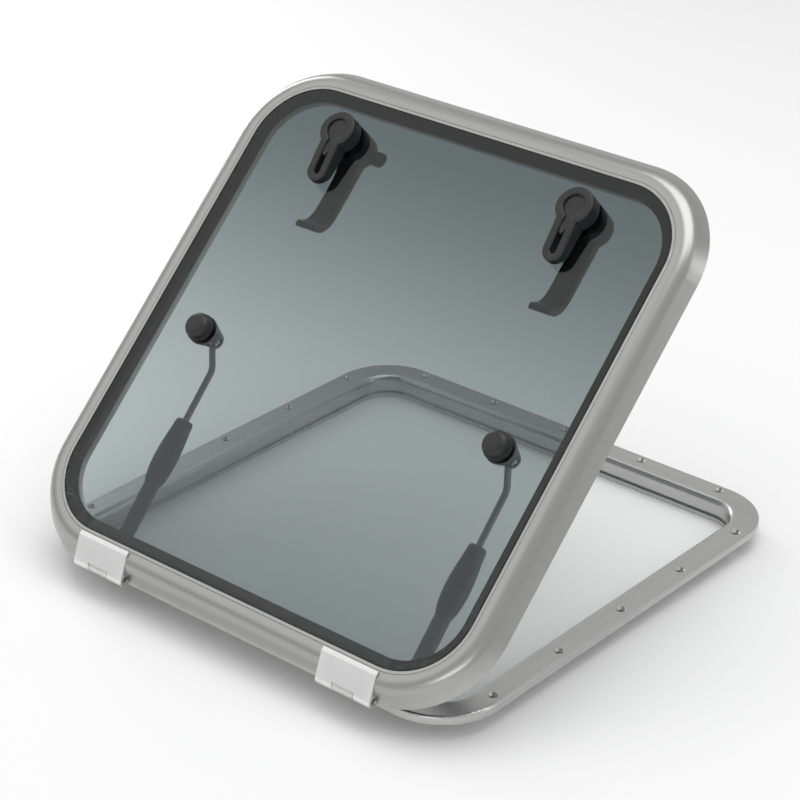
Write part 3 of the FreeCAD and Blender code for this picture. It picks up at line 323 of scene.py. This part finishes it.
NODE_FINISH = {
    "base_frame": BASE_METAL, "lid_frame": ANODISED, "pane": ACRYLIC, "pane_sealant": SEALANT,
    "lid_gasket": GASKET, "hinge_lug_screws": STEEL, "stay_bracket_screws": STEEL,
}
PAIR_FINISH = {
    "hinge_leaf": LEAF_METAL, "hinge_lug": BASE_METAL, "hinge_bush": GREY_PLASTIC,
    "hinge_pin": ROD_STEEL, "handle_bush": GREY_PLASTIC, "handle_seal": GASKET,
    "handle_nut": GREY_PLASTIC, "handle_spindle": STEEL, "handle_screw": STEEL,
    "handle_outer": BLACK_PLASTIC, "handle_inner": BLACK_PLASTIC, "stay_post": BLACK_PLASTIC,
    "stay_seal": GASKET, "stay_cap": BLACK_PLASTIC, "stay_bolt": STEEL,
    "stay_bracket": TUBE_PLASTIC, "stay_foot_pin": STEEL, "stay_tube": TUBE_PLASTIC,
    "stay_guide": GREY_PLASTIC, "stay_grip": GRIP_PLASTIC, "stay_rod": ROD_STEEL,
    "stay_top_pin": STEEL,
}
for stem, finish_of in PAIR_FINISH.items():
    for tag, _ in SIDES:
        NODE_FINISH["%s_%s" % (stem, tag)] = finish_of
for label, piece in nodes.items():
    piece.data.materials.clear()
    piece.data.materials.append(NODE_FINISH[label])


# ---------------------------------------------------------------- mesh helpers
# Edges sharper than these, in degrees, stay creases.
HANDLE_CREASE = 40.0
STAY_CREASE = 50.0


def settle(piece, material, body, replaced, angle):
    """Give a new piece its material, smooth faces, creases and body, and hide the node it replaces.
    """
    piece.data.materials.clear()
    piece.data.materials.append(material)
    for face in piece.data.polygons:
        face.use_smooth = True
    piece.data.set_sharp_from_angle(angle=math.radians(angle))
    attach(piece, body)
    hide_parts(replaced)


def mesh_piece(name, build, matrix=None):
    """A mesh object from a function that fills a bmesh; matrix moves it into place."""
    shape = bmesh.new()
    build(shape)
    if matrix is not None:
        bmesh.ops.transform(shape, matrix=matrix, verts=shape.verts)
    bmesh.ops.recalc_face_normals(shape, faces=shape.faces)
    mesh = bpy.data.meshes.new(name)
    shape.to_mesh(mesh)
    shape.free()
    piece = bpy.data.objects.new(name, mesh)
    bpy.context.scene.collection.objects.link(piece)
    return piece


def loft(shape, rings, closed=False):
    """Skin rings of equal length; open ends are capped."""
    rows = [[shape.verts.new(point) for point in ring] for ring in rings]
    pairs = list(zip(rows, rows[1:])) + ([(rows[-1], rows[0])] if closed else [])
    for first, second in pairs:
        count = len(first)
        for index in range(count):
            after = (index + 1) % count
            shape.faces.new((first[index], first[after], second[after], second[index]))
    if not closed:
        shape.faces.new(list(reversed(rows[0])))
        shape.faces.new(rows[-1])


def lathe_rings(outline, steps=64):
    """Rings for a turned shape: outline is (radius, height), from one end to the other."""
    turns = [TURN * step / steps for step in range(steps)]
    return [[Vector((r * math.cos(t), r * math.sin(t), h)) for t in turns] for r, h in outline]


def rounded(points, radius, steps=5):
    """A polygon with its corners rounded by short arcs."""
    result = []
    count = len(points)
    for index, corner in enumerate(points):
        corner = Vector(corner)
        before = Vector(points[index - 1]) - corner
        after = Vector(points[(index + 1) % count]) - corner
        reach = min(radius, before.length * 0.45, after.length * 0.45)
        start = corner + before.normalized() * reach
        end = corner + after.normalized() * reach
        for step in range(steps + 1):
            t = step / steps
            result.append(start * (1 - t) ** 2 + corner * 2 * t * (1 - t) + end * t * t)
    return result


# ---------------------------------------------------------------- outer handles
def keyhole_line(hub, rail, tip_y):
    """Centre line of the lever's rail: round the hub, down both sides, round the tip."""
    hub_steps, side_steps, tip_steps = 34, 9, 14
    mouth = math.asin(rail / hub)
    points = []
    for step in range(hub_steps + 1):
        angle = -math.pi / 2 + mouth + (TURN - 2 * mouth) * step / hub_steps
        points.append(Vector((hub * math.cos(angle), hub * math.sin(angle), 0)))
    neck = points[-1].y
    for step in range(1, side_steps + 1):
        points.append(Vector((-rail, neck + (tip_y - neck) * step / side_steps, 0)))
    for step in range(1, tip_steps):
        angle = math.pi + math.pi * step / tip_steps
        points.append(Vector((rail * math.cos(angle), tip_y + rail * math.sin(angle), 0)))
    for step in range(side_steps):
        points.append(Vector((rail, tip_y + (neck - tip_y) * step / side_steps, 0)))
    return points


def outer_handle(name, matrix, bottom, top, reach):
    """Slotted keyhole lever with a raised rim, a dished hub and a lifted tip."""
    hub = 15.9 * MM
    rail = 7.7 * MM
    half = 4.3 * MM
    soft = 1.9 * MM
    slope_drop = 6.3 * MM
    tip_lift, tip_length = 5.2 * MM, 14 * MM
    dish_depth, dish_open, dish_steps = 2.4 * MM, math.radians(58), 48
    line = keyhole_line(hub, rail, -(reach - rail - half))

    def top_at(y):
        share = min(1.0, max(0.0, (-y - hub) / (reach - hub)))
        return top - slope_drop * share

    def bottom_at(y):
        share = min(1.0, max(0.0, (-y - (reach - tip_length)) / tip_length))
        return bottom + tip_lift * share

    def build(shape):
        rings = []
        for index, point in enumerate(line):
            ahead = (line[(index + 1) % len(line)] - line[index - 1]).normalized()
            side = Vector((ahead.y, -ahead.x, 0))
            low, high = bottom_at(point.y), top_at(point.y)
            corners = [(-half, low), (half, low), (half, high), (-half, high)]
            ring = [point + side * u + Vector((0, 0, h))
                    for u, h, _ in rounded([(u, h, 0) for u, h in corners], soft, 4)]
            rings.append(ring)
        loft(shape, rings, closed=True)

    rim = mesh_piece(name, build, matrix)

    def build_floor(shape):
        floor = top - dish_depth
        outline = []
        for step in range(dish_steps + 1):
            angle = -dish_open + (math.pi + 2 * dish_open) * step / dish_steps
            outline.append((hub * math.cos(angle), hub * math.sin(angle)))
        outline += [(-3.4 * MM, -24 * MM), (-2.2 * MM, -29 * MM), (0, -31.5 * MM),
                    (2.2 * MM, -29 * MM), (3.4 * MM, -24 * MM)]
        levels = ((bottom + 0.2 * MM, 0.94), (bottom + 1.6 * MM, 1.0), (floor - 0.3 * MM, 1.0),
                  (floor, 0.97), (floor - 0.7 * MM, 0.62), (floor - 0.9 * MM, 0.3))
        loft(shape, [[Vector((x * s, y * s, h)) for x, y in outline] for h, s in levels])

    return rim, mesh_piece(name + "_dish", build_floor, matrix)


# ---------------------------------------------------------------- inner handles
def prism_piece(name, points, low, high, matrix, bevel, plane):
    """Extrude an outline and round its edges; plane maps (a, b, c) to a point."""
    def build(shape):
        loft(shape, [[plane(a, b, c) for a, b in points] for c in (low, high)])
        rims = [edge for edge in shape.edges
                if len(edge.link_faces) == 2 and edge.calc_face_angle(0.0) > math.radians(60)]
        bmesh.ops.bevel(shape, geom=rims, offset=bevel, segments=3, profile=0.5, affect="EDGES")
    return mesh_piece(name, build, matrix)


def inner_handle(name, matrix, low, hub_top, nose_side):
    """Long lever that curls back towards the pane, on a round hub with a catch nose."""
    long = 104 * MM
    thick = 6 * MM
    tip = 25 * MM
    path = [(0, low), (0, low + thick + 6 * MM), (-20 * MM, low + thick + 5 * MM),
            (-34 * MM, low + thick), (-long + 26 * MM, low + thick),
            (-long + 13 * MM, low + thick + 5.5 * MM), (-long + 6.5 * MM, low + tip),
            (-long, low + tip - 1.5 * MM), (-long + 4.5 * MM, low + 10 * MM),
            (-long + 15 * MM, low + 2.2 * MM), (-long + 27 * MM, low)]
    smooth = [(p.x, p.y) for p in rounded([(a, b, 0) for a, b in path], 9 * MM, 5)]
    bar = prism_piece(name, smooth, -12.5 * MM, 12.5 * MM, matrix, 1.5 * MM,
                      lambda a, b, c: Vector((c, a, b)))
    outline = [(6.2 * MM, low + 4 * MM), (6.2 * MM, low + 0.3 * MM), (7 * MM, low),
               (17.6 * MM, low), (19.3 * MM, low + 0.6 * MM), (20 * MM, low + 2.2 * MM),
               (20 * MM, hub_top - 1.6 * MM), (19.4 * MM, hub_top - 0.4 * MM),
               (18.4 * MM, hub_top), (6.4 * MM, hub_top)]
    hub = mesh_piece(name + "_hub", lambda shape: loft(shape, lathe_rings(outline)), matrix)
    nose_reach = 33.4 * MM
    ends = [(14 * MM, -8 * MM), (nose_reach - 4 * MM, -8 * MM), (nose_reach - 0.6 * MM, -4 * MM),
            (nose_reach, 0), (nose_reach - 0.6 * MM, 4 * MM), (nose_reach - 4 * MM, 8 * MM),
            (14 * MM, 8 * MM)]
    nose_points = [(a * nose_side, b) for a, b in ends]
    nose = prism_piece(name + "_catch", nose_points, low - 0.15 * MM, low + 2.3 * MM, matrix,
                       0.5 * MM, lambda a, b, c: Vector((a, b, c)))
    return bar, hub, nose


UNDER_PANE = shut_box("pane")[0].z
NUT_SPACE = 3.5 * MM
for tag, side in SIDES:
    body = "handle_" + tag
    hub_at = UNSWING @ Vector(joints["handle_%s_turn" % tag]["pos_m"])
    outer_low, outer_high = shut_box("handle_outer_" + tag)
    inner_low = shut_box("handle_inner_" + tag)[0]
    stand = SWING @ Matrix.Translation(Vector((hub_at.x, hub_at.y, 0)))
    reach = hub_at.y - outer_low.y
    lever = outer_handle("lever_" + tag, stand, outer_low.z, outer_high.z, reach)
    for piece in lever:
        settle(piece, BLACK_PLASTIC, body, "handle_outer_" + tag, HANDLE_CREASE)
    grab = inner_handle("grab_" + tag, stand, inner_low.z, UNDER_PANE - NUT_SPACE, -side)
    for piece in grab:
        settle(piece, BLACK_PLASTIC, body, "handle_inner_" + tag, HANDLE_CREASE)


# ---------------------------------------------------------------- stays
def stay_matrix(tag):
    """A stay's own frame: origin at its foot pin, Y along its tube."""
    foot = Vector(joints["stay_%s_foot" % tag]["pos_m"])
    along = Vector(joints["stay_%s_slide" % tag]["axis"])
    return Matrix.Translation(foot) @ Matrix.Rotation(math.atan2(along.z, along.y), 4, "X")


def grip_piece(name, matrix, first, last, wide, flat):
    """Leaf-shaped grip: a flattened oval that swells below its middle, with a ribbed neck.

    Each row of the profile is a share of the length, then of the width and of the thickness.
    """
    around = 56
    profile = ((0.0, 0.52, 0.86), (0.02, 0.62, 0.93), (0.10, 0.80, 0.97), (0.22, 0.93, 1.0),
               (0.38, 1.0, 1.0), (0.52, 0.97, 1.0), (0.66, 0.88, 1.0), (0.78, 0.78, 0.99),
               (0.86, 0.72, 0.97), (0.88, 0.69, 0.94), (0.90, 0.72, 0.96), (0.92, 0.68, 0.92),
               (0.94, 0.70, 0.93), (0.975, 0.66, 0.86), (0.995, 0.58, 0.72), (1.0, 0.5, 0.62))

    def build(shape):
        rings = []
        for share, w, h in profile:
            ring = []
            for step in range(around):
                angle = TURN * step / around
                c, s = math.cos(angle), math.sin(angle)
                x = wide * w * math.copysign(abs(c) ** 0.82, c)
                z = flat * h * math.copysign(abs(s) ** 0.9, s)
                ring.append(Vector((x, first + (last - first) * share, z)))
            rings.append(ring)
        loft(shape, rings)
    return mesh_piece(name, build, matrix)


def cap_piece(name, matrix, low, high, radius):
    """Round cap with a soft shoulder and a shallow step near its foot."""
    rise = high - low
    outline = [(0.5 * MM, 0), (radius, 0), (radius, rise * 0.10), (radius * 0.985, rise * 0.13),
               (radius * 0.965, rise * 0.16), (radius * 0.96, rise * 0.34)]
    dome_steps = 12
    for step in range(1, dome_steps):
        angle = math.pi / 2 * step / dome_steps
        outline.append((radius * (0.50 + 0.46 * math.cos(angle)),
                        rise * (0.34 + 0.61 * math.sin(angle))))
    outline += [(radius * 0.40, rise * 0.975), (radius * 0.2, rise * 0.995), (0.4 * MM, rise)]
    return mesh_piece(name, lambda shape: loft(shape, lathe_rings(outline)),
                      matrix @ Matrix.Translation(Vector((0, 0, low))))


GRIP_HALF_THICK = 10.2 * MM
for tag, _ in SIDES:
    line = stay_matrix(tag)
    back = line.inverted()
    points = [back @ vertex.co for vertex in nodes["stay_grip_" + tag].data.vertices]
    first = min(p.y for p in points)
    last = max(p.y for p in points)
    wide = max(abs(p.x) for p in points)
    grip = grip_piece("grip_" + tag, line, first, last, wide, GRIP_HALF_THICK)
    settle(grip, GRIP_PLASTIC, "stay_tube_" + tag, "stay_grip_" + tag, STAY_CREASE)
    low, high = shut_box("stay_cap_" + tag)
    middle = (low + high) / 2
    cap = cap_piece("cap_" + tag, SWING @ Matrix.Translation(Vector((middle.x, middle.y, 0))),
                    low.z, high.z, (high.x - low.x) / 2)
    settle(cap, BLACK_PLASTIC, "lid", "stay_cap_" + tag, STAY_CREASE)


# ---------------------------------------------------------------- studio
def floor_material():
    """Matt, nearly white, faintly clouded."""
    material = bpy.data.materials.new("pale_floor")
    material.use_nodes = True
    tree = material.node_tree
    shader = tree.nodes["Principled BSDF"]
    finish = place_group(tree, SURFACE, Colour=rgba(0.93, 0.93, 0.93),
                         Mottle_Colour=rgba(0.91, 0.91, 0.91), Mottle_Amount=0.3,
                         Mottle_Scale=2.0, Grain_Scale=60.0, Roughness=0.7,
                         Roughness_Spread=0.05)
    tree.links.new(finish.outputs["Colour"], shader.inputs["Base Color"])
    tree.links.new(finish.outputs["Roughness"], shader.inputs["Roughness"])
    return material


def make_floor(level):
    """A square floor at the height of the base's lowest point."""
    span = 9.0

    def build(shape):
        corners = [(-span, -span), (span, -span), (span, span), (-span, span)]
        shape.faces.new([shape.verts.new((x, y, level)) for x, y in corners])
    floor = mesh_piece("studio_floor", build)
    floor.data.materials.append(floor_material())


def soft_light(name, place, target, width, height, power):
    """A rectangular lamp at a place, aimed at a target; metres and watts."""
    light = bpy.data.lights.new(name, "AREA")
    light.shape = "RECTANGLE"
    light.size = width
    light.size_y = height
    light.energy = power
    lamp = bpy.data.objects.new(name, light)
    bpy.context.scene.collection.objects.link(lamp)
    lamp.location = place
    lamp.rotation_euler = (Vector(target) - Vector(place)).to_track_quat("-Z", "Y").to_euler()


def make_world(brightness):
    """Even white light from all round."""
    world = bpy.data.worlds.new("studio_air")
    world.use_nodes = True
    background = world.node_tree.nodes["Background"]
    background.inputs["Color"].default_value = (1.0, 1.0, 1.0, 1.0)
    background.inputs["Strength"].default_value = brightness
    bpy.context.scene.world = world


def make_camera():
    """Three-quarter view from above the hinge side's right corner."""
    azimuth, elevation, roll = (math.radians(v) for v in (39.79, 26.94, 0.95))
    back = Vector((math.sin(azimuth) * math.cos(elevation),
                   -math.cos(azimuth) * math.cos(elevation), math.sin(elevation)))
    right = Vector((math.cos(azimuth), math.sin(azimuth), 0))
    up = back.cross(right)
    turned_right = right * math.cos(roll) + up * math.sin(roll)
    turned_up = up * math.cos(roll) - right * math.sin(roll)
    data = bpy.data.cameras.new("view_camera")
    data.lens = 114.34
    data.sensor_width = 36.0
    data.clip_end = 50.0
    camera = bpy.data.objects.new("view_camera", data)
    matrix = Matrix((turned_right, turned_up, back)).transposed().to_4x4()
    matrix.translation = Vector((1.4839, -1.8067, 1.3390))
    camera.matrix_world = matrix
    bpy.context.scene.collection.objects.link(camera)
    bpy.context.scene.camera = camera


make_floor(cad_box[0][2])
make_world(0.64)
for lamp in (
        ("overhead", (0.35, 0.35, 2.7), (0.1, 0.1, 0), 2.3, 2.3, 29),
        ("rear_glow", (-1.6, -1.4, 2.2), (0, 0.1, 0.3), 2.4, 2.4, 8),
        ("left_strip", (-2.3, 0.9, 1.1), (0, 0, 0.15), 0.5, 2.0, 12),
        ("right_strip", (2.4, 0.9, 0.9), (0, 0, 0.2), 0.4, 1.8, 4),
        ("low_front", (1.2, -2.8, 0.9), (0, 0, 0.15), 1.8, 0.4, 7)):
    soft_light(*lamp)
make_camera()
bpy.context.scene.view_settings.view_transform = "Standard"
